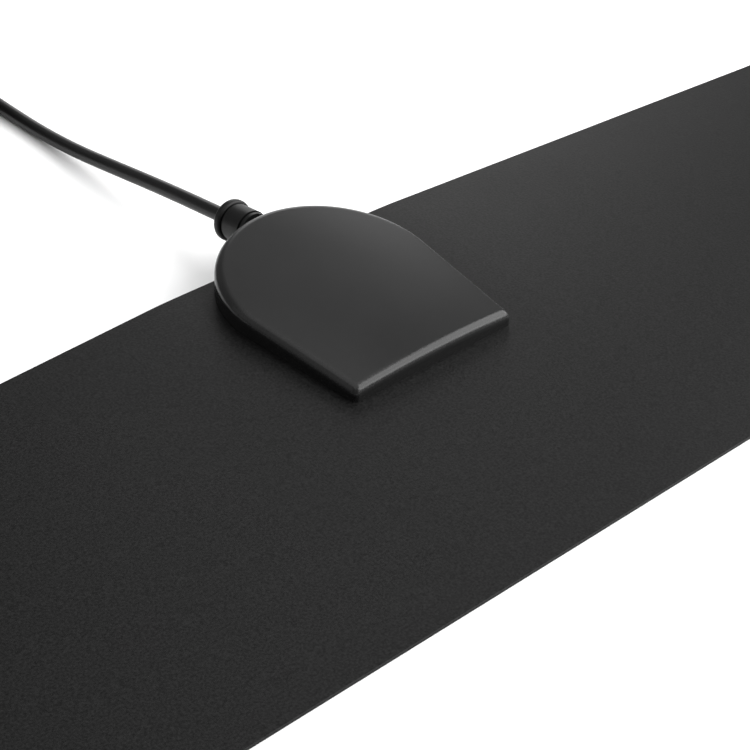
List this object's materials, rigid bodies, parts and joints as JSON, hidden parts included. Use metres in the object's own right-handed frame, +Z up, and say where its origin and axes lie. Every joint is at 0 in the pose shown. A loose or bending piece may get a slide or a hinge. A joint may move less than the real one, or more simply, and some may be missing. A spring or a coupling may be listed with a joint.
{
  "type": "flat indoor tv antenna",
  "caption": "Flat black film antenna strip with a shield-shaped junction box on its rear edge and a thin coaxial lead, coiled and tied, ending in a push-on plug.",
  "frame": {"origin": "Centre of the footprint of film and box, on the surface that the antenna lies on; the lead isn't counted.", "axes": "X along the film strip, Y across it towards the edge with the box and the lead, Z up."},
  "size_m": [0.35, 0.2565, 0.0314],
  "materials": {
    "film_black": "fine matt grain",
    "foil": "bright rolled",
    "housing_black": "satin moulded",
    "board_green": "solder mask",
    "tinned_metal": "tinned",
    "ferrite": "sintered matt",
    "copper": "bare copper",
    "chip_ceramic": "plain",
    "rubber_black": "satin moulded",
    "cable_black": "satin jacket",
    "strap_black": "woven",
    "plug_black": "satin moulded",
    "nickel": "nickel plated",
    "white_plastic": "plain"
  },
  "bodies": {
    "root": {"antenna_film": "film_black", "feed_contact_left": "foil", "feed_contact_right": "foil", "housing_cover": "housing_black", "housing_base": "housing_black", "circuit_board": "board_green", "feed_rivet_left": "tinned_metal", "feed_rivet_right": "tinned_metal", "balun_core": "ferrite", "balun_winding": "copper", "chip_capacitors": "chip_ceramic", "strain_relief": "rubber_black", "coax_conductor": "copper", "coax_dielectric": "white_plastic", "coax_braid": "tinned_metal", "ground_wire": "tinned_metal", "solder_joints": "tinned_metal", "cable_run": "cable_black", "cable_coil": "cable_black", "cable_tie": "strap_black", "cable_lead": "cable_black", "plug_grip": "plug_black", "plug_shell": "nickel", "plug_insulator": "white_plastic", "plug_pin": "nickel"}
  },
  "joints": []
}
